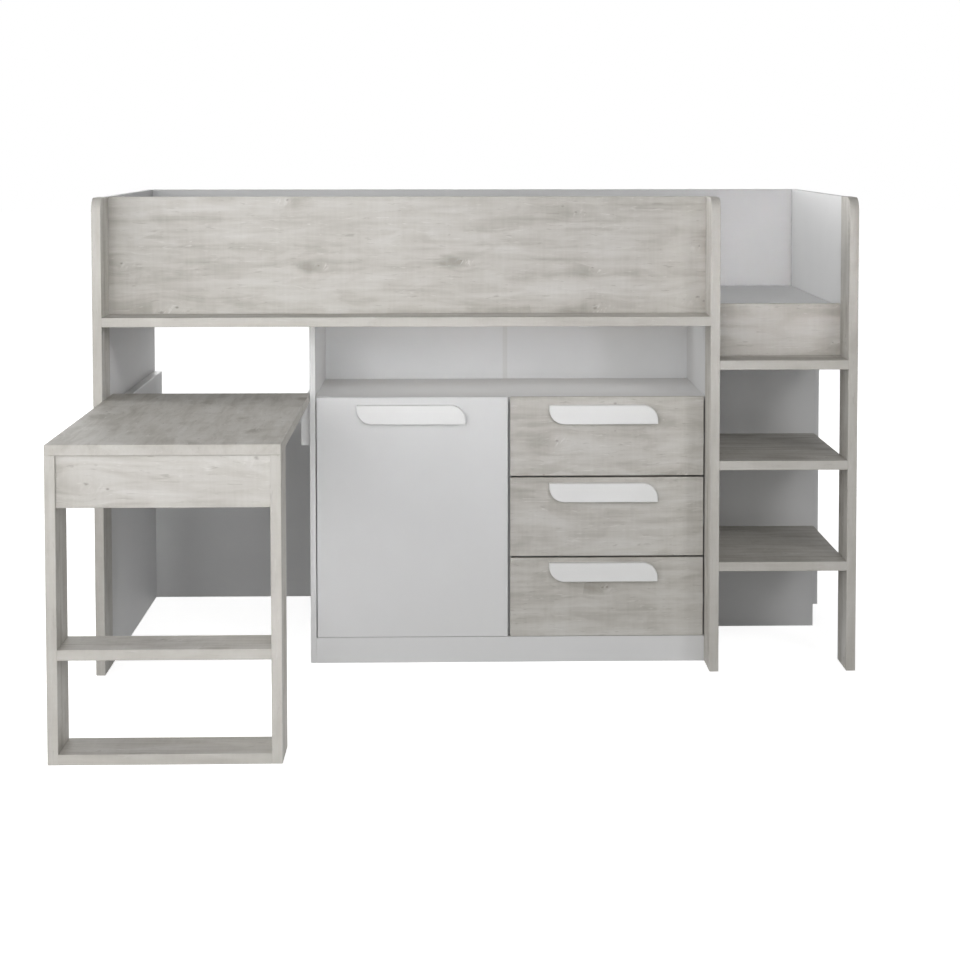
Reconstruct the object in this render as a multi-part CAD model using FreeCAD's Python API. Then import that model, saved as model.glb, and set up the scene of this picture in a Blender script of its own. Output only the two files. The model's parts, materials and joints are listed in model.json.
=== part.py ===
# A mid sleeper: a raised single bed over a pull-out desk, a cupboard, three drawers and a set of steps.
# Sizes are in millimetres. While it is modelled, X runs right from the outer face of the left post,
# Y runs back from the front of the posts and Z runs up from the floor. At the end every piece is moved
# so that the origin is on the floor, in the middle of the footprint with the desk pulled out.

import FreeCAD, Part
import math
import os

Vec = FreeCAD.Vector

# Boards
post_thick = 25.0
step_thick = 25.0
desk_thick = 25.0
panel_thick = 16.0
front_thick = 16.0
edge_ease = 0.8

# Bed box
mattress_length = 2000.0
mattress_width = 900.0
length_play = 10.0
width_play = 4.0
bed_height = 1290.0
post_depth = 140.0
post_corner = 40.0
ledge_top = 969.0
ledge_depth = 190.0
base_thick = 16.0
base_play = 2.0
back_guard_foot = 860.0
lower_back_height = 620.0
bearer_width = 100.0
batten_width = 40.0

# Steps at the right end
entry_width = 349.0
entry_step_top = 850.0
entry_rail_height = 144.0
upper_tread_top = 577.0
lower_tread_top = 300.5
tread_depth = 579.0
right_panel_foot = 62.0

# Cabinet under the bed
desk_bay_width = 546.0
cabinet_setback = 132.0
cabinet_depth = 493.0
cabinet_top_height = 738.0
plinth_height = 71.0
top_edge_gap = 0.8
right_side_thick = 25.0
divider_shift = -5.0
back_sheet_thick = 3.0
back_inset = 12.0
groove_depth = 6.0
sheet_play = 0.2
seam_gap = 4.0
strip_width = 14.0
strip_wall = 1.2
shelf_height = 400.0
shelf_setback = 40.0
shelf_play = 1.0
pin_diameter = 5.0
pin_play = 0.1
pin_reach = 8.0
pin_from_edge = 60.0

# Fronts and handles
middle_gap = 7.0
post_gap = 4.0
drawer_gap = 5.0
foot_gap = 1.0
handle_length = 300.0
handle_height = 53.0
handle_corner = 42.0
handle_reach = 18.0
handle_lip = 6.0
handle_grip = 28.0
handle_ease = 2.0
door_handle_drop = 20.5
drawer_handle_drops = [21.5, 14.0, 11.5]
door_handle_shift = -3.0
drawer_handle_shift = -10.0

# Door hinges
hinge_inset = 16.0
hinge_behind_middle = 0.5
swing_clear = 0.6
hinge_pin_diameter = 4.0
hinge_pin_play = 0.06
hinge_eye_wall = 1.5
hinge_arm_thick = 3.0
hinge_arm_height = 16.0
hinge_foot_length = 52.0
hinge_cheek = 3.0
hinge_wall = 1.5
hinge_play = 0.6
hinge_flange_thick = 1.5
hinge_flange_reach = 24.0
hinge_flange_ear = 7.0
hinge_seat_play = 0.05
hinge_from_end = 100.0

# Drawer boxes and their slides
slide_width = 12.5
slide_height = 36.0
slide_length = 450.0
slide_wall = 1.5
slide_play = 0.4
slide_tip_gap = 1.0
drawer_board = 12.0
drawer_side_height = 150.0
drawer_depth = 440.0
drawer_clear = 8.0
drawer_bottom_thick = 3.0
drawer_groove_height = 10.0
drawer_groove_depth = 5.0

# Desk and the rails that it slides on
desk_width = 543.0
desk_length = 1065.0
desk_reach = 887.0
desk_height = 746.0
leg_depth = 150.0
apron_height = 122.0
apron_inset = 6.0
stretcher_top = 270.0
rail_thick = 25.0
rail_height = 115.0
rail_length = 898.0
rail_stop_gap = 2.0
glide_thick = 2.0

# Places that follow from the sizes above
bed_length = mattress_length + length_play + 2 * post_thick
left_inner = post_thick
right_inner = bed_length - post_thick
entry_left = right_inner - entry_width
middle_left = entry_left - post_thick
guard_back = post_depth + panel_thick
back_face = guard_back + mattress_width + width_play
bed_depth = back_face + panel_thick
ledge_foot = ledge_top - step_thick
entry_step_foot = entry_step_top - step_thick
ladder_back = tread_depth + panel_thick
side_outer = left_inner + desk_bay_width
side_inner = side_outer + panel_thick
divider_x = (side_inner + middle_left) / 2 + divider_shift
divider_left = divider_x - panel_thick / 2
divider_right = divider_x + panel_thick / 2
front_back = cabinet_setback + front_thick
cabinet_back = cabinet_setback + cabinet_depth
side_rear = cabinet_back + back_sheet_thick + back_inset
fronts_foot = plinth_height + foot_gap
pin_depth = front_thick / 2 + hinge_behind_middle
door_swing = math.hypot(hinge_inset, pin_depth)
door_gap = door_swing - hinge_inset + swing_clear
door_left = side_inner + door_gap
pin_x = door_left + hinge_inset
pin_y = cabinet_setback + pin_depth
carcass_front = pin_y + door_swing + swing_clear
footprint_middle = Vec(bed_length / 2, (bed_depth - desk_reach) / 2, 0)

pieces = {}


# Shapes that many pieces share
def span(start, size):
    return (start, start + size)


def block(x, y, z):
    """A square-edged piece that fills a span on each axis."""
    return Part.makeBox(x[1] - x[0], y[1] - y[0], z[1] - z[0], Vec(x[0], y[0], z[0]))


def board(x, y, z):
    """A board with every edge eased, as edge banding leaves it."""
    solid = block(x, y, z)
    return solid.makeChamfer(edge_ease, solid.Edges)


def rod(start, axis, length, diameter):
    return Part.makeCylinder(diameter / 2, length, start, axis)


def prism(points, direction):
    """A straight-sided outline pushed along a direction."""
    return Part.Face(Part.makePolygon(points + points[:1])).extrude(direction)


# Front posts, with the upper front corner rounded off
def post(x):
    top_start = Vec(x, 0, bed_height - post_corner)
    top_end = Vec(x, post_corner, bed_height)
    inset = post_corner * (1 - math.sqrt(0.5))
    corner = Part.Arc(top_start, Vec(x, inset, bed_height - inset), top_end).toShape()
    sides = [Vec(x, post_depth, bed_height), Vec(x, post_depth, 0), Vec(x, 0, 0)]
    outline = Part.Wire([corner] + Part.makePolygon([top_end] + sides + [top_start]).Edges)
    solid = Part.Face(outline).extrude(Vec(post_thick, 0, 0))
    rims = [edge for edge in solid.Edges if edge.BoundBox.XLength < post_thick / 2]
    return solid.makeChamfer(edge_ease, rims)


pieces["left_front_post"] = post(0)
pieces["middle_front_post"] = post(middle_left)
pieces["right_front_post"] = post(right_inner)

# White panels of the ends and the back
bed_height_span = (0, bed_height)
end_depth = (post_depth, bed_depth)
inside_length = (left_inner, right_inner)
right_panel = span(right_inner, panel_thick)
back_span = (back_face, bed_depth)
pieces["left_end_panel"] = board(span(left_inner - panel_thick, panel_thick), end_depth, bed_height_span)
pieces["right_end_panel"] = board(right_panel, end_depth, (entry_step_foot, bed_height))
lower_panel_height = (right_panel_foot, entry_step_foot)
pieces["right_lower_panel"] = board(right_panel, (ladder_back, bed_depth), lower_panel_height)
pieces["back_guard_panel"] = board(inside_length, back_span, (back_guard_foot, bed_height))
pieces["lower_back_panel"] = board(inside_length, back_span, (0, lower_back_height))

# Front ledge, notched round the middle post, and the guard that stands on it
ledge_span = (ledge_foot, ledge_top)
ledge = block((left_inner, entry_left), (0, ledge_depth), ledge_span)
post_notch = block((middle_left, entry_left), (0, post_depth), ledge_span)
ledge = ledge.cut(post_notch)
pieces["front_ledge"] = ledge.makeChamfer(edge_ease, ledge.Edges)
guard_span = (post_depth, guard_back)
pieces["front_guard_panel"] = board((left_inner, entry_left), guard_span, (ledge_top, bed_height))

# Steps between the middle and the right post
step_span = (entry_left, right_inner)
step_foot_span = (entry_step_foot, entry_step_top)
rail_top = entry_step_top + entry_rail_height
pieces["entry_step"] = board(step_span, (0, ledge_depth), step_foot_span)
pieces["entry_rail"] = board(step_span, guard_span, (entry_step_top, rail_top))
for name, top in (("upper_tread", upper_tread_top), ("lower_tread", lower_tread_top)):
    pieces[name] = board(step_span, (0, tread_depth), (top - step_thick, top))
pieces["ladder_back_panel"] = board(step_span, (tread_depth, ladder_back), (0, ledge_foot))

# Bed base: two panels on a bearer and battens, level with the ledge
deck_depth = (guard_back + base_play, back_face - base_play)
deck_height = span(ledge_top, base_thick)
deck_middle = bed_length / 2
left_deck = board((left_inner + base_play, deck_middle - base_play / 2), deck_depth, deck_height)
right_deck = board((deck_middle + base_play / 2, right_inner - base_play), deck_depth, deck_height)
pieces["base_panels"] = Part.makeCompound([left_deck, right_deck])
bearer_span = (side_rear - bearer_width, side_rear)
pieces["centre_bearer"] = board(inside_length, bearer_span, ledge_span)
pieces["back_batten"] = board(inside_length, (back_face - batten_width, back_face), ledge_span)
pieces["entry_batten"] = board(step_span, (guard_back, ledge_depth), ledge_span)

# Cabinet carcass, with a notch in the top's front corner where the door's edge swings in
cabinet_width = (side_inner, middle_left)
board_depth = (carcass_front, cabinet_back)
side_height = (0, ledge_foot)
bottom_top = plinth_height + panel_thick
top_foot = cabinet_top_height - panel_thick
divider_span = (divider_left, divider_right)
right_side_span = span(middle_left, right_side_thick)
pieces["cabinet_left_side"] = board((side_outer, side_inner), (cabinet_setback, back_face), side_height)
pieces["cabinet_right_side"] = board(right_side_span, (post_depth, side_rear), side_height)
pieces["cabinet_bottom"] = board(cabinet_width, board_depth, (plinth_height, bottom_top))
top_span = (top_foot, cabinet_top_height)
swing_notch = block((side_inner, pin_x + door_swing), (front_back, carcass_front), top_span)
cabinet_top = board(cabinet_width, (front_back + top_edge_gap, cabinet_back), top_span)
pieces["cabinet_top"] = cabinet_top.cut(swing_notch)
pieces["cabinet_divider"] = board(divider_span, board_depth, (bottom_top, top_foot))
pieces["plinth"] = board(cabinet_width, (cabinet_setback, front_back), (0, plinth_height))

# Thin cabinet backs, held in grooves and joined by an H strip above the divider
sheet_depth = span(cabinet_back, back_sheet_thick)
sheet_height = (plinth_height, ledge_foot)
groove = span(cabinet_back - sheet_play, back_sheet_thick + 2 * sheet_play)
for side, face in (("cabinet_left_side", side_inner - groove_depth), ("cabinet_right_side", middle_left)):
    pieces[side] = pieces[side].cut(block(span(face, groove_depth), groove, sheet_height))
seam = (divider_x - seam_gap / 2, divider_x + seam_gap / 2)
sheet_left = side_inner - groove_depth + sheet_play
sheet_right = middle_left + groove_depth - sheet_play
left_sheet = block((sheet_left, seam[0]), sheet_depth, sheet_height)
right_sheet = block((seam[1], sheet_right), sheet_depth, sheet_height)
pieces["cabinet_back_sheets"] = Part.makeCompound([left_sheet, right_sheet])


def h_strip():
    strip_span = (divider_x - strip_width / 2, divider_x + strip_width / 2)
    height = (cabinet_top_height, ledge_foot)
    whole = block(strip_span, (sheet_depth[0] - strip_wall, sheet_depth[1] + strip_wall), height)
    left_slot = block((strip_span[0], seam[0]), sheet_depth, height)
    right_slot = block((seam[1], strip_span[1]), sheet_depth, height)
    return whole.cut(left_slot).cut(right_slot)


pieces["back_joint_strip"] = h_strip()


# Cupboard shelf on four pins
def shelf_and_pins():
    shelf_depth = (carcass_front + shelf_setback, cabinet_back - shelf_play)
    shelf_width = (side_inner + shelf_play, divider_left - shelf_play)
    shelf = board(shelf_width, shelf_depth, span(shelf_height, panel_thick))
    pins = []
    pin_z = shelf_height - pin_diameter / 2
    walls = (("cabinet_left_side", side_inner, 1), ("cabinet_divider", divider_left, -1))
    for y in (shelf_depth[0] + pin_from_edge, shelf_depth[1] - pin_from_edge):
        for side, face, inward in walls:
            axis = Vec(inward, 0, 0)
            start = Vec(face, y, pin_z) - axis * pin_reach
            hole = rod(start, axis, pin_reach, pin_diameter + 2 * pin_play)
            pieces[side] = pieces[side].cut(hole)
            pins.append(rod(start, axis, 2 * pin_reach, pin_diameter))
    return shelf, Part.makeCompound(pins)


pieces["cupboard_shelf"], pieces["shelf_pins"] = shelf_and_pins()


# Leaf-shaped handle: two opposite corners are round, and the lower half stands off for the fingers
def handle(middle_x, top_z):
    left = middle_x - handle_length / 2
    right = middle_x + handle_length / 2
    foot = top_z - handle_height
    face = cabinet_setback - handle_reach
    inset = handle_corner * (1 - math.sqrt(0.5))

    def at(x, z):
        return Vec(x, face, z)

    low_start = at(left, foot + handle_corner)
    low_end = at(left + handle_corner, foot)
    low_corner = Part.Arc(low_start, at(left + inset, foot + inset), low_end).toShape()
    high_start = at(right, top_z - handle_corner)
    high_end = at(right - handle_corner, top_z)
    high_corner = Part.Arc(high_start, at(right - inset, top_z - inset), high_end).toShape()
    low_side = Part.makePolygon([low_end, at(right, foot), high_start]).Edges
    high_side = Part.makePolygon([high_end, at(left, top_z), low_start]).Edges
    outline = Part.Wire([low_corner] + low_side + [high_corner] + high_side)
    solid = Part.Face(outline).extrude(Vec(0, handle_reach, 0))
    front_rim = [edge for edge in solid.Edges if edge.BoundBox.YMax < face + handle_reach / 2]
    solid = solid.makeChamfer(handle_ease, front_rim)
    grip_depth = (face + handle_lip, cabinet_setback)
    return solid.cut(block((left, right), grip_depth, span(foot, handle_grip)))


# Cupboard door on two concealed hinges, each a pin in a steel box let into the back of the door
door_right = divider_x - middle_gap / 2
door_height = (fronts_foot, cabinet_top_height)
door = board((door_left, door_right), (cabinet_setback, front_back), door_height)
door_middle = (door_left + door_right) / 2
pieces["door_handle"] = handle(door_middle + door_handle_shift, cabinet_top_height - door_handle_drop)
eye_radius = hinge_pin_diameter / 2 + hinge_pin_play + hinge_eye_wall
slot_right = pin_x + eye_radius + hinge_play
slot_front = pin_y - eye_radius - hinge_play
slot_half = hinge_arm_height / 2 + hinge_play
box_half = slot_half + hinge_cheek
arm_bend = carcass_front + swing_clear
upright = Vec(0, 0, 1)


def hinge_arm(z):
    """The fixed arm: an eye on the pin, a crank behind the door's edge and a foot on the cabinet side."""
    low = z - hinge_arm_height / 2
    near = pin_x - hinge_arm_thick / 2
    far = pin_x + hinge_arm_thick / 2
    foot_end = arm_bend + hinge_foot_length
    inner_bend = arm_bend + hinge_arm_thick
    outline = [(near, pin_y), (near, arm_bend), (side_inner, arm_bend), (side_inner, foot_end)]
    outline += [(side_inner + hinge_arm_thick, foot_end), (side_inner + hinge_arm_thick, inner_bend)]
    outline += [(far, inner_bend), (far, pin_y)]
    strip = prism([Vec(x, y, low) for x, y in outline], upright * hinge_arm_height)
    eye = rod(Vec(pin_x, pin_y, low), upright, hinge_arm_height, 2 * eye_radius)
    bore = rod(Vec(pin_x, pin_y, low), upright, hinge_arm_height, hinge_pin_diameter + 2 * hinge_pin_play)
    return strip.fuse(eye).cut(bore).removeSplitter()


def hinge_box(z):
    """The steel box in the door, open at the door's edge and back, with a flange on the back."""
    height = (z - box_half, z + box_half)
    body = block((door_left, slot_right + hinge_wall), (slot_front - hinge_wall, front_back), height)
    ears = (height[0] - hinge_flange_ear, height[1] + hinge_flange_ear)
    flange_width = (pin_x, slot_right + hinge_flange_reach)
    flange = block(flange_width, span(front_back, hinge_flange_thick), ears)
    slot_depth = (slot_front, front_back + hinge_flange_thick)
    slot = block((door_left, slot_right), slot_depth, (z - slot_half, z + slot_half))
    seat_diameter = hinge_pin_diameter + 2 * hinge_seat_play
    seat = rod(Vec(pin_x, pin_y, height[0]), upright, 2 * box_half, seat_diameter)
    return body.fuse(flange).cut(slot).cut(seat).removeSplitter()


def hinge_mortise(z):
    wide = (door_left, slot_right + hinge_wall + hinge_seat_play)
    deep = (slot_front - hinge_wall - hinge_seat_play, front_back)
    return block(wide, deep, (z - box_half - hinge_seat_play, z + box_half + hinge_seat_play))


hinge_heights = (door_height[0] + hinge_from_end, door_height[1] - hinge_from_end)
for z in hinge_heights:
    door = door.cut(hinge_mortise(z))
pieces["cupboard_door"] = door
pieces["hinge_arms"] = Part.makeCompound([hinge_arm(z) for z in hinge_heights])
pieces["hinge_boxes"] = Part.makeCompound([hinge_box(z) for z in hinge_heights])
pin_starts = [Vec(pin_x, pin_y, z - box_half) for z in hinge_heights]
pins = [rod(start, upright, 2 * box_half, hinge_pin_diameter) for start in pin_starts]
pieces["hinge_pins"] = Part.makeCompound(pins)

# Drawers: a front, a handle, a box with its bottom in grooves, and the inner half of each slide
drawer_front_left = divider_x + middle_gap / 2
drawer_front_right = middle_left - post_gap
front_height = (cabinet_top_height - fronts_foot - 2 * drawer_gap) / 3
box_left = divider_right + slide_width
box_right = middle_left - slide_width
drawer_lift = panel_thick + drawer_clear


def channel(face, inward, middle_z, height, reach, length_span):
    """A slide channel: a web flat on a face, with two flanges that stand off it."""
    low = middle_z - height / 2
    high = middle_z + height / 2
    web = face + inward * slide_wall
    tip = face + inward * reach
    y = length_span[0]
    outline = [(face, low), (tip, low), (tip, low + slide_wall), (web, low + slide_wall)]
    outline += [(web, high - slide_wall), (tip, high - slide_wall), (tip, high), (face, high)]
    return prism([Vec(x, y, z) for x, z in outline], Vec(0, length_span[1] - length_span[0], 0))


outer_reach = slide_width - slide_tip_gap
inner_reach = slide_width - slide_wall - slide_tip_gap
inner_height = slide_height - 2 * slide_wall - 2 * slide_play
slide_span = span(carcass_front, slide_length)
drawer_span = span(front_back, drawer_depth)
outer_slides = []
for number in (1, 2, 3):
    foot = cabinet_top_height - number * front_height - (number - 1) * drawer_gap
    top = foot + front_height
    name = "drawer_%d_" % number
    front_width = (drawer_front_left, drawer_front_right)
    pieces[name + "front"] = board(front_width, (cabinet_setback, front_back), (foot, top))
    front_middle = (drawer_front_left + drawer_front_right) / 2
    handle_top = top - drawer_handle_drops[number - 1]
    pieces[name + "handle"] = handle(front_middle + drawer_handle_shift, handle_top)
    box_foot = foot + drawer_lift
    box_height = span(box_foot, drawer_side_height)
    groove_height = span(box_foot + drawer_groove_height, drawer_bottom_thick)
    groove_inset = drawer_board - drawer_groove_depth
    bottom_width = (box_left + groove_inset, box_right - groove_inset)
    groove_cut = block(bottom_width, drawer_span, groove_height)
    left_side = board(span(box_left, drawer_board), drawer_span, box_height).cut(groove_cut)
    right_side = board((box_right - drawer_board, box_right), drawer_span, box_height).cut(groove_cut)
    back_width = (box_left + drawer_board, box_right - drawer_board)
    back_depth = (drawer_span[1] - drawer_board, drawer_span[1])
    back = board(back_width, back_depth, (groove_height[1], box_height[1]))
    pieces[name + "box"] = Part.makeCompound([left_side, right_side, back])
    pieces[name + "bottom"] = block(bottom_width, drawer_span, groove_height)
    slide_z = box_foot + drawer_side_height / 2
    inner_span = (carcass_front, drawer_span[1])
    left_inner_slide = channel(box_left, -1, slide_z, inner_height, inner_reach, inner_span)
    right_inner_slide = channel(box_right, 1, slide_z, inner_height, inner_reach, inner_span)
    pieces[name + "slides"] = Part.makeCompound([left_inner_slide, right_inner_slide])
    outer_slides.append(channel(divider_right, 1, slide_z, slide_height, outer_reach, slide_span))
    outer_slides.append(channel(middle_left, -1, slide_z, slide_height, outer_reach, slide_span))
pieces["cabinet_slides"] = Part.makeCompound(outer_slides)

# Rails for the desk on the end panel and on the cabinet, each with a glide strip on top
desk_underside = desk_height - desk_thick
rail_high = desk_underside - glide_thick
rail_span = span(leg_depth + rail_stop_gap, rail_length)
left_rail_width = span(left_inner, rail_thick)
right_rail_width = (side_outer - rail_thick, side_outer)
glides = []
for name, width in (("desk_rail_left", left_rail_width), ("desk_rail_right", right_rail_width)):
    pieces[name] = board(width, rail_span, (rail_high - rail_height, rail_high))
    glide_width = (width[0] + edge_ease, width[1] - edge_ease)
    glides.append(block(glide_width, rail_span, (rail_high, desk_underside)))
pieces["rail_glides"] = Part.makeCompound(glides)

# Desk: a long top that rests on the rails at the back and on a frame of boards at the front
desk_left = left_inner + (desk_bay_width - desk_width) / 2
desk_right = desk_left + desk_width
desk_front = -desk_reach
leg_span = span(desk_front, leg_depth)
leg_height = (0, desk_underside)
between_legs = (desk_left + desk_thick, desk_right - desk_thick)
top_depth = span(desk_front, desk_length)
pieces["desk_top"] = board((desk_left, desk_right), top_depth, (desk_underside, desk_height))
pieces["desk_left_leg"] = board(span(desk_left, desk_thick), leg_span, leg_height)
pieces["desk_right_leg"] = board((desk_right - desk_thick, desk_right), leg_span, leg_height)
apron_depth = span(desk_front + apron_inset, desk_thick)
pieces["desk_apron"] = board(between_legs, apron_depth, (desk_underside - apron_height, desk_underside))
pieces["desk_stretcher"] = board(between_legs, leg_span, (stretcher_top - desk_thick, stretcher_top))
pieces["desk_bottom_rail"] = board(between_legs, leg_span, (0, desk_thick))

# Every piece is moved to the footprint's middle and written to its own file
os.makedirs("parts", exist_ok=True)
for name, solid in pieces.items():
    solid.translate(-footprint_middle)
    solid.exportStep("parts/%s.step" % name)
print(len(pieces), "pieces, door gap", round(door_gap, 2), "front height", round(front_height, 2))
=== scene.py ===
# %% [markdown]
# # A mid sleeper with a pull-out desk
# The bed, its cabinet, its steps and its desk are made of flat boards, and those boards come finished
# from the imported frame, each at its real place. What is left to make here is how they look: a pale grey
# oak-look decor, white melamine, lacquered handles, plated fittings, and the small screws and caps that
# hold such furniture together. Each step first says what the piece or finish is, and then makes it.

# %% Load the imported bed
import json
import math

import bmesh
import bpy
from mathutils import Matrix, Vector


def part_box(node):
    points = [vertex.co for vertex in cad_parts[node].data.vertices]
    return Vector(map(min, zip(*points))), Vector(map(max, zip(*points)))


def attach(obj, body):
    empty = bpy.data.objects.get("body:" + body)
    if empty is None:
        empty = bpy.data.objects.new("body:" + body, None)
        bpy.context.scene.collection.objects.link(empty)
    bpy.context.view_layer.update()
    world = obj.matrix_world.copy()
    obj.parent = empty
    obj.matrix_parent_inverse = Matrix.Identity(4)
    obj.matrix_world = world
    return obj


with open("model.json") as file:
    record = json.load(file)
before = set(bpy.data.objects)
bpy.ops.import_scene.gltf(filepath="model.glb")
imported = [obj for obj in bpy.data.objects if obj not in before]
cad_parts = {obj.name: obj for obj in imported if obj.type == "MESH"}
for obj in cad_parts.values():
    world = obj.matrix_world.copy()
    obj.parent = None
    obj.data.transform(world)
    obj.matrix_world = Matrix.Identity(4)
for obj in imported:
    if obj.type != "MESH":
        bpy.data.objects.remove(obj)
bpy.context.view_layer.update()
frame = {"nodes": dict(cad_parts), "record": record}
nodes = frame["nodes"]

# %% [markdown]
# ## Camera
# The picture shows the bed from the front and slightly above, with upright lines that stay upright, as
# a level camera with a shifted lens gives. A level camera would need a shift of more than a third of
# the picture, and every other view would inherit it. So the camera tilts down by a few degrees, and a
# smaller shift does the rest: the posts then lean by three pixels at most.

# %% Camera
picture_pixels = 960
focal_pixels = 2274.0
camera_place = Vector((-0.061, -6.1916, 1.4428))
camera_tilt = 0.0609
camera_turn = 0.0285
shift_across = -0.0406
shift_up = -0.209

camera_data = bpy.data.cameras.new("camera")
camera_data.sensor_width = 36.0
camera_data.lens = focal_pixels / picture_pixels * camera_data.sensor_width
camera_data.shift_x = shift_across
camera_data.shift_y = shift_up
camera = bpy.data.objects.new("camera", camera_data)
camera.location = camera_place
camera.rotation_euler = (math.pi / 2 - camera_tilt, 0.0, -camera_turn)
bpy.context.scene.collection.objects.link(camera)
bpy.context.scene.camera = camera
print("lens", round(camera_data.lens, 1), "mm, tilt", round(math.degrees(camera_tilt), 1), "degrees")

# %% [markdown]
# ## Small helpers for node trees
# A material in Blender is a graph of nodes. Writing each node out takes several lines, so a helper adds
# one node, sets its options, and fills its sockets either with a plain value or with a link from
# another node. The others give short names to the sums, noises and blends that come up again and again.

# %% Helpers for single nodes


def add(tree, kind, inputs=None, **options):
    """Adds a shader node. An input is a plain value or a socket to link from."""
    made = tree.nodes.new("ShaderNode" + kind)
    for option, value in options.items():
        setattr(made, option, value)
    for socket, value in (inputs or {}).items():
        if isinstance(value, bpy.types.NodeSocket):
            tree.links.new(value, made.inputs[socket])
        else:
            made.inputs[socket].default_value = value
    return made


def calc(tree, operation, first, second=0.0):
    return add(tree, "Math", {0: first, 1: second}, operation=operation).outputs[0]


def linear(tree, value, factor, offset):
    """The value times a factor, plus an offset."""
    return calc(tree, "ADD", calc(tree, "MULTIPLY", value, factor), offset)


def vector_calc(tree, operation, first, second):
    return add(tree, "VectorMath", {0: first, 1: second}, operation=operation).outputs[0]


def stretch(tree, vector, factors):
    return vector_calc(tree, "MULTIPLY", vector, factors)


def distance(tree, vector):
    return add(tree, "VectorMath", {0: vector}, operation="LENGTH").outputs["Value"]


def noise(tree, vector, detail, distortion=0.0, scale=1.0):
    inputs = {"Vector": vector, "Scale": scale, "Detail": detail, "Distortion": distortion}
    return add(tree, "TexNoise", inputs).outputs[0]


def fade(tree, value, start, end):
    """Goes softly from 0 where the value is start to 1 where it is end."""
    inputs = {"Value": value, "From Min": start, "From Max": end}
    return add(tree, "MapRange", inputs, interpolation_type="SMOOTHSTEP").outputs[0]


def blend_colour(tree, mask, under, over):
    return add(tree, "Mix", {0: mask, 6: under, 7: over}, data_type="RGBA").outputs[2]


def bump(tree, height, depth):
    return add(tree, "Bump", {"Height": height, "Distance": depth, "Strength": 1.0}).outputs[0]


print("helpers for single nodes ready")

# %% [markdown]
# ## Small helpers for groups and materials
# An effect that several finishes share is kept in a node group, which is placed in a material like a
# single node. Its sockets are declared first, and its results are joined to its exit at the end. A
# material starts empty and ends with one shader on its output.

# %% Helpers for groups and materials


def new_group(name, inputs, outputs):
    """A node group with its sockets, and its entry and exit nodes."""
    group = bpy.data.node_groups.new(name, "ShaderNodeTree")
    for label, kind in inputs:
        group.interface.new_socket(label, in_out="INPUT", socket_type="NodeSocket" + kind)
    for label in outputs:
        group.interface.new_socket(label, in_out="OUTPUT", socket_type="NodeSocketFloat")
    return group, group.nodes.new("NodeGroupInput").outputs, group.nodes.new("NodeGroupOutput").inputs


def put_out(group, result, values):
    """Joins values to the group's exit, by name."""
    for label, value in values.items():
        group.links.new(value, result[label])


def place_group(tree, group, inputs):
    return add(tree, "Group", inputs, node_tree=group).outputs


def new_material(name):
    material = bpy.data.materials.new(name)
    material.use_nodes = True
    material.node_tree.nodes.clear()
    return material, material.node_tree


def surface(tree, inputs):
    shader = add(tree, "BsdfPrincipled", inputs)
    add(tree, "OutputMaterial", {"Surface": shader.outputs[0]})


print("helpers for groups and materials ready")

# %% [markdown]
# ## Knots
# The decor is a print of washed, rough-sawn softwood with a small knot here and there. A knot has a
# ragged dark core and a few specks, with light slanted strokes on one side of it and a darker shade on
# the other, and the grain bends round it. Knots placed by hand would come back on every board, so a
# cell pattern scatters them. Chance mirrors each one and sets its size and strength, so that no two
# look alike. All this works in a board's own directions: the first axis runs along the grain, the
# second across it, and the third through the board.

# %% Knots
knot_cells = (2.6, 7.0, 0.0)
knot_unscale = (1 / knot_cells[0], 1 / knot_cells[1], 0.0)
cell_disorder = 0.85
knot_chance = 0.40
knot_radius = 0.0042
knot_outline = (0.62, 1.0, 0.0)
knot_ragged = (150.0, 260.0, 0.0)
least_shrink = 0.6
shrink_range = 0.9
knot_pull = 0.05
knot_bow = -0.7
patch_outline = (0.5, 1.0, 0.0)
patch_core = 0.2
curl_place = (-0.014, -0.004, 0.0)
curl_reach = 0.020
curl_slant = 0.5
stroke_cells = (120.0, 36.0, 0.0)
stroke_limits = (0.50, 0.62)
shade_place = (0.038, -0.006, 0.0)
shade_reach = 0.034
speck_cells = (36.0, 52.0, 0.0)
speck_chance = 0.80
speck_radius = 0.10
speck_blur = 2.2
speck_pull = (0.05, 0.5)


def scattered(group, vector, cells):
    """Random spots, a few per cell: the way to the nearest one, and three random values for it."""
    spread = stretch(group, vector, cells)
    cell_inputs = {"Vector": spread, "Scale": 1.0, "Randomness": cell_disorder}
    spots = add(group, "TexVoronoi", cell_inputs).outputs
    away = vector_calc(group, "SUBTRACT", spread, spots["Position"])
    return away, add(group, "SeparateColor", {0: spots["Color"]}).outputs


def beside_knot(group, away, strength, place, reach):
    """A soft patch, twice as long as it is high, at a place beside each knot."""
    offset = vector_calc(group, "SUBTRACT", away, place)
    spread = distance(group, stretch(group, offset, patch_outline))
    return calc(group, "MULTIPLY", fade(group, spread, reach, patch_core * reach), strength)


def specks(group, vector, pull):
    """Tiny dark specks near the knots."""
    away, luck = scattered(group, vector, speck_cells)
    dots = fade(group, distance(group, away), speck_blur * speck_radius, speck_radius)
    dots = calc(group, "MULTIPLY", dots, calc(group, "GREATER_THAN", luck[0], speck_chance))
    return calc(group, "MULTIPLY", dots, fade(group, pull, *speck_pull))


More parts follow.
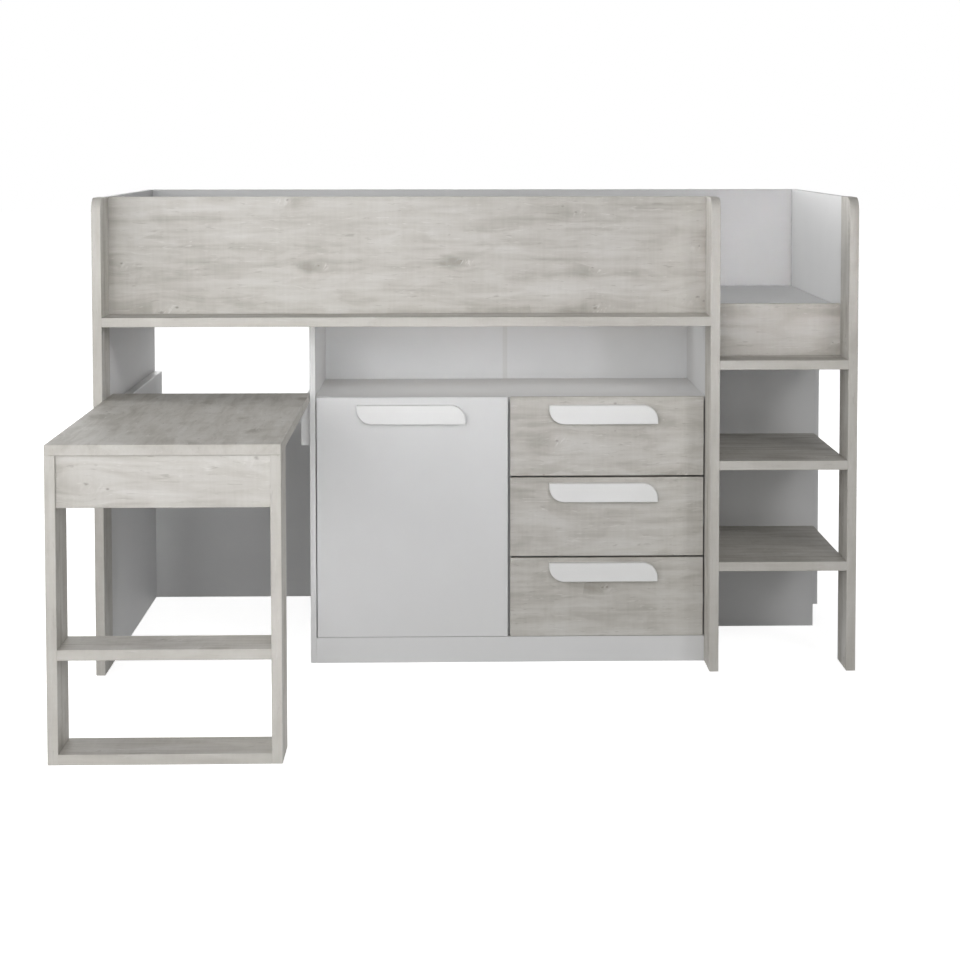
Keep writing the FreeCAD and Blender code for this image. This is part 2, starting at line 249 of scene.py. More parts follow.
def knots(group, vector, face):
    """The grain bent round the knots, and masks of their dark spots, light strokes and shade."""
    away, luck = scattered(group, vector, knot_cells)
    away = stretch(group, away, knot_unscale)
    present = calc(group, "MULTIPLY", calc(group, "GREATER_THAN", luck[0], knot_chance), face)
    strength = calc(group, "MULTIPLY", present, luck[0])
    side = calc(group, "SIGN", calc(group, "SUBTRACT", luck[1], 0.5))
    shrink = linear(group, luck[2], shrink_range, least_shrink)
    own_shape = {"X": calc(group, "MULTIPLY", side, shrink), "Y": shrink}
    figure = stretch(group, away, add(group, "CombineXYZ", own_shape).outputs[0])

    ragged = noise(group, stretch(group, vector, knot_ragged), detail=2.0)
    raggedness = calc(group, "MULTIPLY", calc(group, "SUBTRACT", ragged, 0.5), knot_radius)
    reach = distance(group, stretch(group, figure, knot_outline))
    reach = calc(group, "ADD", reach, raggedness)
    core = calc(group, "MULTIPLY", fade(group, reach, knot_radius, 0.0), present)
    pull = calc(group, "MULTIPLY", fade(group, reach, knot_pull, 0.0), present)
    bow = add(group, "CombineXYZ", {"Y": calc(group, "MULTIPLY", pull, knot_bow)}).outputs[0]
    bent = vector_calc(group, "ADD", vector, stretch(group, bow, away))

    slant = {"Vector": vector, "Angle": curl_slant}
    slanted = add(group, "VectorRotate", slant, rotation_type="Z_AXIS").outputs[0]
    strokes = noise(group, stretch(group, slanted, stroke_cells), detail=2.0)
    strokes = fade(group, strokes, *stroke_limits)
    curl = beside_knot(group, figure, strength, curl_place, curl_reach)
    curl = calc(group, "MULTIPLY", curl, strokes)
    shade = beside_knot(group, figure, strength, shade_place, shade_reach)
    spots = calc(group, "MAXIMUM", core, specks(group, vector, pull))
    return bent, spots, curl, shade


print("cells for knots per square metre:", round(knot_cells[0] * knot_cells[1], 1))

# %% [markdown]
# ## Wood grain
# Round the knots lie the layers of the print: broad pale bands, soft darker patches and smudges along
# the board, short dark dashes, light flecks, fine pores, and faint saw marks across the grain. It could
# be a picture, but a procedural pattern has no seams and stays sharp close up. Each layer is a noise
# drawn out along the grain, and one node group gathers them for every wooden finish.

# %% The grain group
# For each layer: its changes per metre along and across the grain, its detail and its distortion
bent_layers = {
    "bands": (0.9, 17.0, 3.0, 0.6),
    "patches": (7.0, 17.0, 3.0, 0.9),
    "smudges": (5.0, 46.0, 4.0, 0.7),
    "streaks": (4.0, 120.0, 3.0, 0.3),
    "dashes": (24.0, 150.0, 2.0, 0.6),
    "flecks": (17.0, 120.0, 3.0, 1.4),
    "pores": (20.0, 620.0, 2.0, 0.0),
}
straight_layers = {
    "clouds": (3.0, 6.0, 2.0, 0.0),
    "saw_marks": (120.0, 9.0, 2.0, 0.0),
}
broad_weights = {"bands": 0.44, "patches": 0.12, "clouds": 0.26}
fine_weights = {"smudges": 0.50, "streaks": 0.10, "saw_marks": 0.12}
patch_limits = (0.38, 0.62)
fleck_limits = (0.60, 0.76)
fleck_strength = 0.75
dash_limits = (0.63, 0.76)
pore_limits = (0.60, 0.72)
shade_depth = 0.19
ridge_height = 0.6
pore_depth = 0.4


def draw_layers(group, vector, sizes):
    """Noises drawn out along the grain, by name."""
    drawn = {}
    for name, (along, across, detail, distortion) in sizes.items():
        drawn[name] = noise(group, stretch(group, vector, (along, across, across)), detail, distortion)
    return drawn


def weighted(group, layers, weights):
    """A sum of layers, each less its mean of one half, put back round one half."""
    total = 0.5
    for name, weight in weights.items():
        share = calc(group, "MULTIPLY", calc(group, "SUBTRACT", layers[name], 0.5), weight)
        total = calc(group, "ADD", total, share)
    return total


def grain_group():
    inputs = (("Vector", "Vector"), ("Face", "Float"))
    outputs = ("Tone", "Knot", "Fleck", "Dash", "Pore", "Height")
    group, given, result = new_group("wood_grain", inputs, outputs)
    vector = given["Vector"]
    bent, spots, curl, shade = knots(group, vector, given["Face"])
    layers = {**draw_layers(group, bent, bent_layers), **draw_layers(group, vector, straight_layers)}
    layers["patches"] = fade(group, layers["patches"], *patch_limits)

    tone = weighted(group, layers, {**broad_weights, **fine_weights})
    tone = calc(group, "SUBTRACT", tone, calc(group, "MULTIPLY", shade, shade_depth))
    flecks = calc(group, "MULTIPLY", fade(group, layers["flecks"], *fleck_limits), fleck_strength)
    flecks = calc(group, "MAXIMUM", flecks, curl)
    dashes = fade(group, layers["dashes"], *dash_limits)
    pores = fade(group, layers["pores"], *pore_limits)
    ridges = calc(group, "MULTIPLY", layers["streaks"], ridge_height)
    height = calc(group, "SUBTRACT", ridges, calc(group, "MULTIPLY", pores, pore_depth))
    colour_masks = {"Tone": tone, "Knot": spots, "Fleck": flecks, "Dash": dashes, "Pore": pores}
    put_out(group, result, {**colour_masks, "Height": height})
    return group


wood_grain = grain_group()
print("grain group with", len(wood_grain.nodes), "nodes")

# %% [markdown]
# ## Oak-look boards
# Every oak-look piece is chipboard with the same printed decor, but cut from another part of the sheet.
# So each board gets its own copy of the material, with the grain turned along the board and moved to a
# new part of the pattern. The narrow edges carry a plainer edge band, so the contrast is lower there
# and knots stay on the faces.

# %% Oak-look decor
decor_dark = (0.345, 0.325, 0.290, 1.0)
decor_middle = (0.517, 0.499, 0.464, 1.0)
decor_light = (0.634, 0.622, 0.596, 1.0)
decor_dark_at = 0.20
decor_light_at = 0.80
fleck_colour = (0.69, 0.678, 0.652, 1.0)
knot_colour = (0.2, 0.183, 0.16, 1.0)
pore_colour = (0.31, 0.29, 0.258, 1.0)
light_washes = (("Fleck", 0.65, fleck_colour),)
dark_washes = (("Dash", 0.5, pore_colour), ("Pore", 0.22, pore_colour), ("Knot", 0.65, knot_colour))
edge_contrast = 0.55
decor_roughness = 0.66
decor_gloss = -0.15
decor_relief = 0.00012
decor_specular = 0.3
sheet_step = Vector((0.83, 0.37, 0.19))
axis_number = {"X": 0, "Y": 1, "Z": 2}


def board_directions(tree, order, shift):
    """Coordinates that run along, across and through the board, and a mask of its two faces."""
    coordinates = add(tree, "TexCoord").outputs
    place = add(tree, "SeparateXYZ", {0: coordinates["Object"]}).outputs
    turned = [place[axis_number[letter]] for letter in order]
    vector = add(tree, "CombineXYZ", dict(enumerate(turned))).outputs[0]
    vector = vector_calc(tree, "ADD", vector, shift)
    facing = add(tree, "SeparateXYZ", {0: coordinates["Normal"]}).outputs[axis_number[order[2]]]
    return vector, calc(tree, "ABSOLUTE", facing)


def oak_look(name, order, shift):
    material, tree = new_material(name)
    vector, face = board_directions(tree, order, shift)
    grain = place_group(tree, wood_grain, {"Vector": vector, "Face": face})
    contrast = linear(tree, face, 1.0 - edge_contrast, edge_contrast)
    tone = calc(tree, "MULTIPLY", calc(tree, "SUBTRACT", grain["Tone"], 0.5), contrast)
    ramp = add(tree, "ValToRGB", {"Fac": calc(tree, "ADD", tone, 0.5)})
    stops = ramp.color_ramp.elements
    stops[0].position, stops[0].color = decor_dark_at, decor_dark
    stops[1].position, stops[1].color = decor_light_at, decor_light
    stops.new(0.5).color = decor_middle
    colour = ramp.outputs[0]
    for mask, strength, tint in light_washes + dark_washes:
        amount = calc(tree, "MULTIPLY", calc(tree, "MULTIPLY", grain[mask], strength), contrast)
        colour = blend_colour(tree, amount, colour, tint)
    rough = linear(tree, grain["Tone"], decor_gloss, decor_roughness)
    normal = bump(tree, grain["Height"], decor_relief)
    inputs = {"Base Color": colour, "Roughness": rough, "Normal": normal}
    surface(tree, {**inputs, "Specular IOR Level": decor_specular})
    return material


print("oak-look decor ready")

# %% [markdown]
# ## Which way the grain runs
# A board is cut with the grain along it, as it would look odd otherwise: up the posts and the legs,
# sideways on the guard, the fronts, the ledge and the steps, and from front to back on the desk top.
# Three letters say which of the object's axes run along, across and through each kind of board.

# %% Dress the oak-look boards
posts = ["left_front_post", "middle_front_post", "right_front_post"]
drawer_fronts = ["drawer_1_front", "drawer_2_front", "drawer_3_front"]
steps = ["entry_step", "upper_tread", "lower_tread"]
upright_boards = posts + ["desk_left_leg", "desk_right_leg"]
faced_boards = ["front_guard_panel", "entry_rail", *drawer_fronts, "desk_apron"]
flat_boards = ["front_ledge", *steps, "desk_stretcher", "desk_bottom_rail"]
grain_orders = {"ZYX": upright_boards, "XZY": faced_boards, "XYZ": flat_boards, "YXZ": ["desk_top"]}


def dress(name, material):
    slots = nodes[name].data.materials
    slots.clear()
    slots.append(material)


oak_count = 0
for order, names in grain_orders.items():
    for name in names:
        oak_count += 1
        dress(name, oak_look("oak_look_" + name, order, sheet_step * oak_count))
print("oak-look boards:", oak_count)

# %% [markdown]
# ## Pressed skins
# Melamine, lacquer, hardboard and plastic are all smooth at arm's length, yet none is a mirror:
# melamine has a pearl-like press texture, lacquer a faint ripple, hardboard a fine tooth. One group
# makes such a skin at any size: a value that shifts the colour by a hair, one for the roughness, and a
# height for a shallow bump.

# %% The skin group
patch_density = 7.0
tint_patches = 0.8
gloss_patches = 0.5
tint_limits = (0.3, 0.7)
gloss_range = 0.12


def skin_group():
    inputs = (("Vector", "Vector"), ("Size", "Float"))
    group, given, result = new_group("pressed_skin", inputs, ("Tint", "Gloss", "Height"))
    density = calc(group, "DIVIDE", 1.0, given["Size"])
    fine = noise(group, given["Vector"], detail=2.0, scale=density)
    patches = noise(group, given["Vector"], detail=3.0, scale=patch_density)

    def mixture(patch_share):
        fine_part = calc(group, "MULTIPLY", fine, 1.0 - patch_share)
        return calc(group, "ADD", calc(group, "MULTIPLY", patches, patch_share), fine_part)

    tint, gloss = mixture(tint_patches), mixture(gloss_patches)
    put_out(group, result, {"Tint": tint, "Gloss": gloss, "Height": fine})
    return group


pressed_skin = skin_group()


def skin(name, low, high, size, depth, roughness, extra=None):
    """A smooth sheet whose colour stays between low and high, with a press texture of a given size."""
    material, tree = new_material(name)
    vector = add(tree, "TexCoord").outputs["Object"]
    made = place_group(tree, pressed_skin, {"Vector": vector, "Size": size})
    colour = blend_colour(tree, fade(tree, made["Tint"], *tint_limits), (*low, 1.0), (*high, 1.0))
    rough = linear(tree, made["Gloss"], gloss_range, roughness - gloss_range / 2)
    inputs = {"Base Color": colour, "Roughness": rough, "Normal": bump(tree, made["Height"], depth)}
    surface(tree, {**inputs, **(extra or {})})
    return material


print("skin group with", len(pressed_skin.nodes), "nodes")

# %% [markdown]
# ## White boards, handles and fittings
# The white boards are a neutral white. The handles are lacquered and a little brighter and glossier.
# The thin backs and drawer bottoms are painted hardboard. The glides are white plastic. The strip in
# the cabinet's back is a darker copy of the white plastic, a painted shade, so that the joint reads
# as the thin dark line of a shaded gap. The hinges, slides and pins are zinc-plated steel, which
# shows a faint drawn grain.

# %% White sheets and plated steel
melamine = skin("white_melamine", (0.686, 0.687, 0.688), (0.702, 0.703, 0.704),
                size=0.0016, depth=0.00003, roughness=0.52, extra={"Specular IOR Level": 0.28})
lacquer = skin("white_lacquer", (0.755, 0.755, 0.75), (0.78, 0.78, 0.775),
               size=0.006, depth=0.00002, roughness=0.36,
               extra={"Coat Weight": 0.15, "Coat Roughness": 0.25})
hardboard = skin("painted_hardboard", (0.66, 0.665, 0.67), (0.69, 0.695, 0.70),
                 size=0.0009, depth=0.00005, roughness=0.6, extra={"Specular IOR Level": 0.25})
plastic = skin("white_plastic", (0.71, 0.71, 0.705), (0.73, 0.73, 0.725),
               size=0.003, depth=0.00002, roughness=0.42)
# painted shade: the white plastic made darker, so that the joint strip shows as a shaded line
plastic_painted_shade = skin("plastic_painted_shade", (0.595, 0.595, 0.59), (0.61, 0.61, 0.605),
                    size=0.003, depth=0.00002, roughness=0.42)

steel_dark = (0.50, 0.51, 0.53, 1.0)
steel_light = (0.64, 0.65, 0.66, 1.0)
drawn_lines = (900.0, 40.0, 900.0)
spangle_cells = (160.0, 160.0, 160.0)
steel_roughness = 0.22
drawn_roughness = 0.25
drawn_relief = 0.00002


def plated_steel():
    material, tree = new_material("zinc_plated_steel")
    vector = add(tree, "TexCoord").outputs["Object"]
    drawn = noise(tree, stretch(tree, vector, drawn_lines), detail=2.0)
    spangle = noise(tree, stretch(tree, vector, spangle_cells), detail=1.0)
    colour = blend_colour(tree, spangle, steel_dark, steel_light)
    rough = linear(tree, drawn, drawn_roughness, steel_roughness)
    normal = bump(tree, drawn, drawn_relief)
    surface(tree, {"Base Color": colour, "Roughness": rough, "Normal": normal, "Metallic": 1.0})
    return material


steel = plated_steel()
print("white sheets and steel ready")

# %% [markdown]
# ## Bare pine
# The bearer and battens under the bed base are planed pine, which nobody sees from the front but which
# shows from below. It uses the same grain group as the decor, in warm colours and with stronger knots.
# Then every node that isn't oak-look gets the finish that the record names for it.

# %% Bare pine
sapwood = (0.74, 0.58, 0.38, 1.0)
latewood = (0.58, 0.40, 0.23, 1.0)
pine_knot = (0.22, 0.11, 0.05, 1.0)
latewood_limits = (0.62, 0.34)
pine_knot_strength = 0.9
pine_roughness = 0.5
pine_gloss = 0.2
pine_relief = 0.0002


def bare_pine(name, order, shift):
    material, tree = new_material(name)
    vector, face = board_directions(tree, order, shift)
    grain = place_group(tree, wood_grain, {"Vector": vector, "Face": face})
    colour = blend_colour(tree, fade(tree, grain["Tone"], *latewood_limits), sapwood, latewood)
    knot_mask = calc(tree, "MULTIPLY", grain["Knot"], pine_knot_strength)
    colour = blend_colour(tree, knot_mask, colour, pine_knot)
    rough = linear(tree, grain["Tone"], pine_gloss, pine_roughness)
    normal = bump(tree, grain["Height"], pine_relief)
    surface(tree, {"Base Color": colour, "Roughness": rough, "Normal": normal})
    return material


pine = bare_pine("bare_pine", "XYZ", sheet_step)
slot_finish = {"white_board": melamine, "white_handle": lacquer, "white_hardboard": hardboard}
slot_finish.update({"white_plastic": plastic, "zinc_steel": steel, "bare_pine": pine})
for part in frame["record"]["subparts"]:
    if part["material_slot"] in slot_finish:
        dress(part["node"], slot_finish[part["material_slot"]])
# the joint strip gets the plastic with the painted shade
dress("back_joint_strip", plastic_painted_shade)

# %% [markdown]
# ## Screw heads
# Small cross-head screws hold the hinges, the slides and the handles, and they show when the door or a
# drawer is open. Cutting the recess with a boolean would leave untidy faces, so the head starts as a
# low cone whose flat top is inset. The inner ring is then pulled into the outline of a cross, and the
# face inside it is sunk.

# %% One screw head
screw_radius = 0.0034
screw_sides = 24
head_rise = 0.36 * screw_radius
head_top = 0.84 * screw_radius
dome_inset = 0.22 * screw_radius
dome_rise = 0.12 * screw_radius
rim_inset = 0.05 * screw_radius
recess_inset = 0.03 * screw_radius
recess_depth = 0.30 * screw_radius
cross_arm = 0.50
cross_corner = math.radians(15.0)
seat_depth = 0.0001


def cross_reach(angle):
    """How far the cross reaches in a direction, in radii of the head."""
    longer = max(abs(math.cos(angle)), abs(math.sin(angle)))
    shorter = min(abs(math.cos(angle)), abs(math.sin(angle)))
    half_width = cross_arm * math.tan(cross_corner)
    if shorter * cross_arm <= longer * half_width:
        return cross_arm / longer
    return half_width / shorter


def closed_mesh(name, shape):
    bmesh.ops.recalc_face_normals(shape, faces=shape.faces)
    data = bpy.data.meshes.new(name)
    shape.to_mesh(data)
    shape.free()
    return data


def top_face(shape):
    return max(shape.faces, key=lambda face: face.calc_center_median().z)


def screw_head():
    shape = bmesh.new()
    bmesh.ops.create_cone(shape, cap_ends=True, segments=screw_sides, radius1=screw_radius,
                          radius2=head_top, depth=head_rise)
    bmesh.ops.translate(shape, vec=(0.0, 0.0, 0.5 * head_rise - seat_depth), verts=shape.verts)
    top = top_face(shape)
    bmesh.ops.inset_individual(shape, faces=[top], thickness=dome_inset, depth=dome_rise)
    bmesh.ops.inset_individual(shape, faces=[top], thickness=rim_inset)
    for corner in top.verts:
        angle = math.atan2(corner.co.y, corner.co.x)
        reach = cross_reach(angle) * screw_radius
        corner.co.xy = (reach * math.cos(angle), reach * math.sin(angle))
    bmesh.ops.inset_individual(shape, faces=[top], thickness=recess_inset, depth=-recess_depth)
    return closed_mesh("screw_head", shape)


screw_mesh = screw_head()
print("a screw head has", len(screw_mesh.polygons), "faces")

# %% [markdown]
# ## Fixing small pieces
# Copies of a small shape could be separate objects, but all the screws of one kind on one moving body
# are better as a single piece, which rides on that body. A seat is a place and the way that it faces.
# Each copy is turned to face its way and stops at another angle, as screws driven by hand do.

# %% Pieces that ride on a body
screw_step = 0.9
right = (1, 0, 0)
left = (-1, 0, 0)
backward = (0, 1, 0)
down = (0, 0, -1)


def add_piece(name, shape, body, finish):
    """Makes a shape into a finished piece that rides on a body."""
    data = closed_mesh(name, shape)
    data.materials.append(finish)
    piece = bpy.data.objects.new(name, data)
    bpy.context.scene.collection.objects.link(piece)
    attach(piece, body)


def fasten(name, template, seats, body, finish):
    """Puts a copy of the template on each seat, and makes them all one piece that rides on a body."""
    shape = bmesh.new()
    for number, (place, facing) in enumerate(seats):
        first = len(shape.verts)
        shape.from_mesh(template)
        shape.verts.ensure_lookup_table()
        turn = Matrix.Rotation(number * screw_step, 4, "Z")
        swing = Vector(facing).to_track_quat("Z", "Y").to_matrix().to_4x4()
        pose = Matrix.Translation(place) @ swing @ turn
        bmesh.ops.transform(shape, matrix=pose, verts=shape.verts[first:])
    add_piece(name, shape, body, finish)
    print(name, "on", body, "with", len(seats), "copies")


print("from one copy to the next", round(math.degrees(screw_step)), "degrees of turn")

# %% [markdown]
# ## Screws in the hinges
# Each hinge box has a flange on the door's back with a screw above and below the box, and each hinge
# arm has two screws in the cabinet's side. Their places could be typed in, but they are worked out from
# the fittings, so the screws follow when a fitting moves.

# %% Hinge screws
flange_height = 0.0372
flange_edge = 0.0085
flange_screw_drop = 0.0125
arm_plate = 0.003
arm_screws = (0.011, 0.033)

flange_low, flange_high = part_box("hinge_boxes")
hinge_heights = (flange_low.z + flange_height / 2, flange_high.z - flange_height / 2)
flange_screw_x = flange_high.x - flange_edge
flange_seats = [((flange_screw_x, flange_high.y, height + side * flange_screw_drop), backward)
                for height in hinge_heights for side in (-1, 1)]
fasten("hinge_flange_screws", screw_mesh, flange_seats, "door", steel)

arm_low, arm_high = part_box("hinge_arms")
arm_seats = [((arm_low.x + arm_plate, arm_high.y - inset, height), right)
             for height in hinge_heights for inset in arm_screws]
fasten("hinge_arm_screws", screw_mesh, arm_seats, "bed", steel)

# %% [markdown]
# ## Screws in the handles and slides
# A handle is screwed on from the back of its board, with two screws. The inner channel of a drawer
# slide is screwed to the drawer's side, and those screws show when the drawer is pulled out.

# %% Handle and slide screws
slide_web = 0.0015
slide_screws = (0.035, 0.16, 0.285)
handle_screw_reach = 0.096
handle_screw_drop = 0.0115


def handle_seats(handle, board):
    """Two seats on the back of the board that a handle is screwed to."""
    low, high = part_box(handle)
    middle = (low.x + high.x) / 2
    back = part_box(board)[1].y
    height = high.z - handle_screw_drop
    return [((middle + side * handle_screw_reach, back, height), backward) for side in (-1, 1)]


door_seats = handle_seats("door_handle", "cupboard_door")
fasten("door_handle_screws", screw_mesh, door_seats, "door", steel)
for drawer in ("drawer_1", "drawer_2", "drawer_3"):
    seats = handle_seats(drawer + "_handle", drawer + "_front")
    fasten(drawer + "_handle_screws", screw_mesh, seats, drawer, steel)
    slide_low, slide_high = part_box(drawer + "_slides")
    side_low, side_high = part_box(drawer + "_box")
    slide_middle = (slide_low.z + slide_high.z) / 2
    webs = ((side_low.x - slide_web, left), (side_high.x + slide_web, right))
    rows = [slide_low.y + inset for inset in slide_screws]
    seats = [((web, row, slide_middle), facing) for web, facing in webs for row in rows]
    fasten(drawer + "_slide_screws", screw_mesh, seats, drawer, steel)

# %% [markdown]
# ## Cover caps
# Flat-pack boards are drawn together by cams, and a round plastic cap covers each cam. They sit where
# they are seldom seen: under the steps and the ledge, behind the guard and inside the desk frame. A cap
# is a thin disc with a rounded rim and a shallow dish. The bevel is given its profile and segments,
# because its defaults differ from the editor's.

# %% One cover cap
cap_radius = 0.0085
cap_sides = 32
cap_rise = 0.0009
cap_round = 0.0004
cap_rim = 0.0018
cap_dish = 0.0002


def cover_cap():
    shape = bmesh.new()
    bmesh.ops.create_cone(shape, cap_ends=True, segments=cap_sides, radius1=cap_radius,
                          radius2=cap_radius, depth=cap_rise)
    bmesh.ops.translate(shape, vec=(0.0, 0.0, 0.5 * cap_rise - seat_depth), verts=shape.verts)
    rim = list(top_face(shape).edges)
    bmesh.ops.bevel(shape, geom=rim, offset=cap_round, affect="EDGES", segments=3, profile=0.5,
                    material=-1)
    bmesh.ops.inset_individual(shape, faces=[top_face(shape)], thickness=cap_rim)
    bmesh.ops.inset_individual(shape, faces=[top_face(shape)], thickness=cap_dish, depth=-cap_dish)
    return closed_mesh("cover_cap", shape)


cap_mesh = cover_cap()
print("a cover cap has", len(cap_mesh.polygons), "faces")

# %% [markdown]
# ## Where the caps sit
# A cam sits a little way in from the end of its board, so a cap's place is worked out from that board's
# box, like a screw's. The desk's legs carry theirs on their inner sides, near the top.

# %% Caps on the bed and the desk
cam_inset = 0.034
edge_inset = 0.045
guard_inset = 0.06
leg_drop = 0.034
leg_rows = (0.065, 0.118)


def ends(board):
    """The two places along a board where its cams sit."""
    low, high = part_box(board)
    return low.x + cam_inset, high.x - cam_inset


def under(board):
    low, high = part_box(board)
    rows = (low.y + edge_inset, high.y - edge_inset)
    return [((along, row, low.z), down) for along in ends(board) for row in rows]


def behind(board):
    low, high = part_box(board)
    rows = (low.z + guard_inset, high.z - guard_inset)
    return [((along, high.y, row), backward) for along in ends(board) for row in rows]


bed_caps = behind("front_guard_panel") + behind("ladder_back_panel")
for board in ("front_ledge", *steps):
    bed_caps += under(board)
fasten("bed_cover_caps", cap_mesh, bed_caps, "bed", plastic)

desk_caps = under("desk_stretcher")
left_low, left_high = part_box("desk_left_leg")
right_low, right_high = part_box("desk_right_leg")
for row in leg_rows:
    desk_caps.append(((left_high.x, left_low.y + row, left_high.z - leg_drop), right))
    desk_caps.append(((right_low.x, right_low.y + row, right_high.z - leg_drop), left))
fasten("desk_cover_caps", cap_mesh, desk_caps, "desk", plastic)

# %% [markdown]
# ## Two hidden bars
# A batten ties the plinth to the cabinet's bottom, and a thin strip closes the joint between the two
# base panels. Without them the white floor would shine through as a bright line, under the cupboard
# when its door is open and across the bed base when it is seen from above. Both are plain bars with
# softened edges, and their places come from the boards that they touch.

# %% Batten and joint strip
batten_height = 0.020
batten_overlap = 0.009
batten_play = 0.001
joint_half = 0.0009
joint_drop = 0.002
bar_round = 0.0004


def bar(name, low, high, finish):
    """A bar with softened edges between two corners, fixed to the bed."""
    shape = bmesh.new()
    bmesh.ops.create_cube(shape, size=1.0)
    bmesh.ops.scale(shape, vec=Vector(high) - Vector(low), verts=shape.verts)
    bmesh.ops.translate(shape, vec=(Vector(high) + Vector(low)) / 2, verts=shape.verts)
    edges = list(shape.edges)
    bmesh.ops.bevel(shape, geom=edges, offset=bar_round, affect="EDGES", segments=2, profile=0.5,
                    material=-1)
    add_piece(name, shape, "bed", finish)
    print(name, "is", [round(1000 * (top - foot), 1) for foot, top in zip(low, high)], "mm")


plinth_low, plinth_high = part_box("plinth")
bottom_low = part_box("cabinet_bottom")[0]
batten_low = (plinth_low.x + batten_play, plinth_high.y, bottom_low.z - batten_height)
batten_high = (plinth_high.x - batten_play, bottom_low.y + batten_overlap, bottom_low.z)
bar("plinth_batten", batten_low, batten_high, melamine)

deck_low, deck_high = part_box("base_panels")
deck_middle = (deck_low.x + deck_high.x) / 2
strip_low = (deck_middle - joint_half, deck_low.y, deck_low.z)
strip_high = (deck_middle + joint_half, deck_high.y, deck_high.z - joint_drop)
bar("base_joint_strip", strip_low, strip_high, plastic)

# %% [markdown]
# ## Floor and background
# The bed stands on a white floor in front of white. The floor is a plain diffuse sheet, and rays that
# come straight from the camera, or by way of a shiny surface, also get a white glow from it. The glow
# is a little short of full white, so the light that falls on the floor fills the rest and the bed's
# shadow still shows faintly. Away from the bed the lamps no longer reach the floor, so there the glow
# rises to full white.

# %% Floor and background
floor_reach = 40.0
floor_glow = 0.84
glow_near = 1.6
glow_far = 4.0
floor_grey = (0.7, 0.7, 0.7, 1.0)
white = (1.0, 1.0, 1.0, 1.0)
ambient = 0.04


def seen_directly(tree):
    """1 for rays from the camera, and for rays seen in a reflection or through glass."""
    path = add(tree, "LightPath").outputs
    seen = calc(tree, "MAXIMUM", path["Is Camera Ray"], path["Is Glossy Ray"])
    return calc(tree, "MAXIMUM", seen, path["Is Transmission Ray"])


floor_mesh = bmesh.new()
bmesh.ops.create_grid(floor_mesh, x_segments=1, y_segments=1, size=floor_reach)
floor_data = bpy.data.meshes.new("floor")
floor_mesh.to_mesh(floor_data)
floor_mesh.free()
floor = bpy.data.objects.new("floor", floor_data)
bpy.context.scene.collection.objects.link(floor)
floor_finish, floor_tree = new_material("white_floor")
away = distance(floor_tree, add(floor_tree, "TexCoord").outputs["Object"])
rising = {"From Min": glow_near, "From Max": glow_far, "To Min": floor_glow, "To Max": 1.0}
strength = add(floor_tree, "MapRange", {"Value": away, **rising}).outputs[0]
glow = add(floor_tree, "Emission", {"Color": white, "Strength": strength}).outputs[0]
matt = add(floor_tree, "BsdfDiffuse", {"Color": floor_grey}).outputs[0]
both = add(floor_tree, "AddShader", {0: glow, 1: matt}).outputs[0]
floor_look = add(floor_tree, "MixShader", {0: seen_directly(floor_tree), 1: matt, 2: both}).outputs[0]
add(floor_tree, "OutputMaterial", {"Surface": floor_look})
floor_data.materials.append(floor_finish)

world = bpy.data.worlds.new("world")
world.use_nodes = True
bpy.context.scene.world = world
world_tree = world.node_tree
world_tree.nodes.clear()
dim = add(world_tree, "Background", {"Color": white, "Strength": ambient}).outputs[0]
bright = add(world_tree, "Background", {"Color": white, "Strength": 1.0}).outputs[0]
sky = add(world_tree, "MixShader", {0: seen_directly(world_tree), 1: dim, 2: bright}).outputs[0]
add(world_tree, "OutputWorld", {"Surface": sky})
print("floor and background ready")

# %% [markdown]
# ## Lights
# The picture has a broad, soft light from the front and the left, and a smaller, harder one high on the
# right that puts thin shadows under the handles and at their lower left. One big lamp would leave the
# recesses black, so several soft boxes share the work: two at the left, one of them behind the bed's
# front so that it lights the inner side of the right end, and four in front, the broadest at the left.
# The two at the left stand far off: from close by they would bleach the outer side of the left end
# before enough light got to the right end. Six narrow beams reach the left end of the guard, the left
# post's inner side, the niche, the entry, the desk bay and the desk frame, a small lamp hangs under the
# bed base, and two fills behind the bed and at its right end serve the other views.

# %% Lights


def soft_box(name, place, aim, width, height, watts, spread=180.0):
    data = bpy.data.lights.new(name, "AREA")
    data.shape = "RECTANGLE"
    data.size, data.size_y = width, height
    data.energy = watts
    data.spread = math.radians(spread)
    lamp = bpy.data.objects.new(name, data)
    lamp.location = place
    lamp.rotation_euler = (Vector(aim) - Vector(place)).to_track_quat("-Z", "Y").to_euler()
    bpy.context.scene.collection.objects.link(lamp)


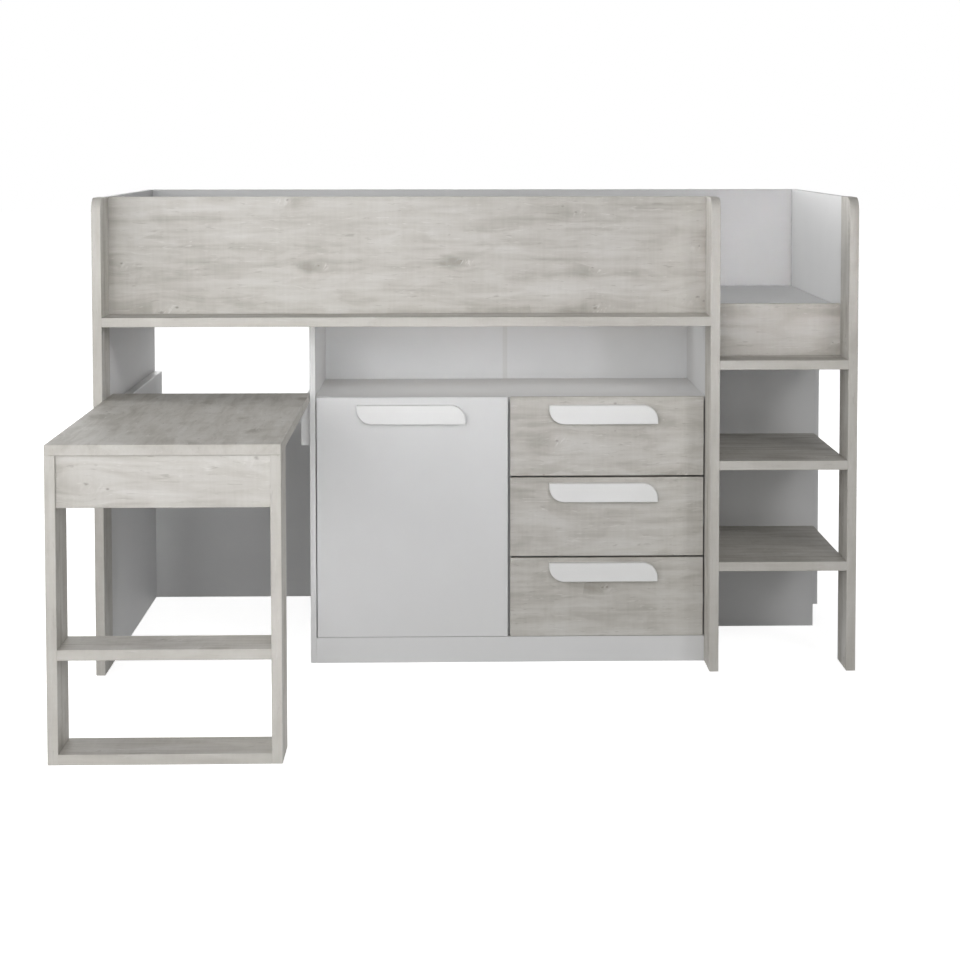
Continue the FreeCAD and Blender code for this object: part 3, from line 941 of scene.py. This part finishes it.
bed_middle = (0.0, 0.0, 0.65)
well_middle = (0.3, 0.3, 1.0)
desk_middle = (-0.4, 0.0, 0.6)
guard_left = (-0.75, 0.05, 1.13)
niche_left = (-0.2, 0.3, 0.84)
entry_middle = (0.84, 0.6, 1.08)
bay_left = (-1.0, 0.35, 0.3)
desk_frame = (-0.76, -0.9, 0.25)
post_left = (-1.0, -0.03, 1.05)
under_base = (0.094, 0.255, 0.962)
niche_floor = (0.094, 0.305, 0.0)
soft_box("left_panel", (-4.0, -5.0, 1.8), bed_middle, 6.0, 3.2, 123.0)
soft_box("left_side", (-12.0, -1.0, 3.75), bed_middle, 6.0, 6.0, 470.0)
soft_box("left_back", (-12.3, 2.1, 4.2), well_middle, 6.0, 6.0, 575.0)
soft_box("right_key", (2.6, -5.2, 3.2), bed_middle, 1.4, 1.0, 48.0)
soft_box("front_middle", (0.0, -6.5, 1.6), bed_middle, 3.0, 2.0, 62.0)
soft_box("front_high", (0.0, -5.5, 4.5), bed_middle, 4.0, 2.5, 52.0)
soft_box("desk_front", (-1.4, -4.6, 1.0), desk_middle, 1.6, 1.0, 7.0)
soft_box("guard_beam", (-1.6, -5.5, 2.0), guard_left, 0.8, 0.5, 0.76, spread=20.0)
soft_box("niche_beam", (2.4, -5.0, 1.1), niche_left, 0.8, 0.4, 0.7, spread=20.0)
soft_box("entry_beam", (0.84, -5.4, 1.5), entry_middle, 0.3, 0.3, 0.148, spread=6.5)
soft_box("bay_beam", (2.0, -5.0, 0.5), bay_left, 0.4, 0.3, 0.125, spread=8.0)
soft_box("frame_beam", (-0.75, -5.0, 3.6), desk_frame, 0.5, 0.4, 0.26, spread=16.0)
soft_box("post_beam", (3.6, -1.4, 1.5), post_left, 0.5, 0.4, 0.26, spread=12.0)
soft_box("niche_lamp", under_base, niche_floor, 1.0, 0.28, 0.55)
soft_box("rear_fill", (-1.5, 6.5, 1.9), bed_middle, 5.0, 2.0, 110.0)
soft_box("right_fill", (6.6, 2.0, 1.6), bed_middle, 3.0, 2.0, 50.0)
bpy.context.scene.view_settings.view_transform = "Standard"
print("lights:", len(bpy.data.lights))
